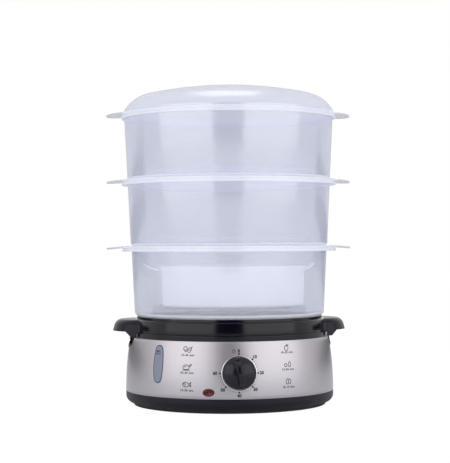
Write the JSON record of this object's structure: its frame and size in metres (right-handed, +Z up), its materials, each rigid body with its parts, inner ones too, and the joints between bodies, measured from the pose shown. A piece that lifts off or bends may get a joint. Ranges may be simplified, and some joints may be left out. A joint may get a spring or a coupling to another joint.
{
  "type": "electric food steamer",
  "caption": "Round electric food steamer with nesting clear baskets, a rice bowl, a domed lid, a drip tray with handles and a steel base with a timer knob.",
  "frame": {"origin": "on the axis of the stack, in the plane the foot ring stands on", "axes": "+Z up the stack, front with the timer knob towards -Y, the handles along X"},
  "size_m": [0.2838, 0.2636, 0.3675],
  "materials": {
    "foot_rubber": "matt",
    "base_plastic": "satin",
    "gloss_black": "gloss",
    "steel": "brushed",
    "bright_steel": "zinc plated",
    "cast_aluminium": "satin",
    "silicone": "soft",
    "red_lens": "clear red",
    "lamp_glass": "clear",
    "smoke_window": "smoked clear",
    "white_plastic": "satin",
    "clear_plastic": "clear, slightly blue",
    "bowl_plastic": "milky clear",
    "brass": "plain"
  },
  "bodies": {
    "base": {"foot_ring": "foot_rubber", "bottom_shell": "base_plastic", "steel_band": "steel", "tank_body": "gloss_black", "cover_screws": "bright_steel", "water_window": "smoke_window", "window_seal": "silicone", "indicator_lens": "red_lens", "neon_lamp": "lamp_glass", "heater_plate": "cast_aluminium", "heater_seal": "silicone", "heater_clamp": "bright_steel", "heater_screws": "bright_steel", "heater_tube": "cast_aluminium", "thermostat": "bright_steel", "thermal_fuse": "brass", "fuse_clip": "bright_steel", "timer_frame": "bright_steel", "timer_case": "white_plastic", "timer_bell": "bright_steel", "timer_screws": "bright_steel", "cord_bush": "base_plastic", "terminal_block": "white_plastic"},
    "knob": {"timer_shaft": "bright_steel", "timer_knob": "gloss_black"},
    "steam_ring": {"steam_ring": "base_plastic"},
    "drip_tray": {"drip_tray": "gloss_black"},
    "lower_basket": {"lower_basket": "clear_plastic"},
    "rice_bowl": {"rice_bowl": "bowl_plastic"},
    "middle_basket": {"middle_basket": "clear_plastic"},
    "upper_basket": {"upper_basket": "clear_plastic"},
    "lid": {"lid": "clear_plastic"}
  },
  "joints": [
    {"name": "knob_turn", "type": "hinge", "parent": "base", "child": "knob", "pos_m": [0, -0.11903, 0.0448], "axis": [0, 0.997, -0.078], "range_deg": [0, 285]},
    {"name": "steam_ring_lift", "type": "slide", "parent": "base", "child": "steam_ring", "axis": [0, 0, 1], "range_m": [0, 0.1]},
    {"name": "drip_tray_lift", "type": "slide", "parent": "steam_ring", "child": "drip_tray", "axis": [0, 0, 1], "range_m": [0, 0.1]},
    {"name": "lower_basket_lift", "type": "slide", "parent": "drip_tray", "child": "lower_basket", "axis": [0, 0, 1], "range_m": [0, 0.12]},
    {"name": "rice_bowl_lift", "type": "slide", "parent": "lower_basket", "child": "rice_bowl", "axis": [0, 0, 1], "range_m": [0, 0.1]},
    {"name": "middle_basket_lift", "type": "slide", "parent": "rice_bowl", "child": "middle_basket", "axis": [0, 0, 1], "range_m": [0, 0.12]},
    {"name": "upper_basket_lift", "type": "slide", "parent": "middle_basket", "child": "upper_basket", "axis": [0, 0, 1], "range_m": [0, 0.12]},
    {"name": "lid_lift", "type": "slide", "parent": "upper_basket", "child": "lid", "axis": [0, 0, 1], "range_m": [0, 0.15]}
  ]
}
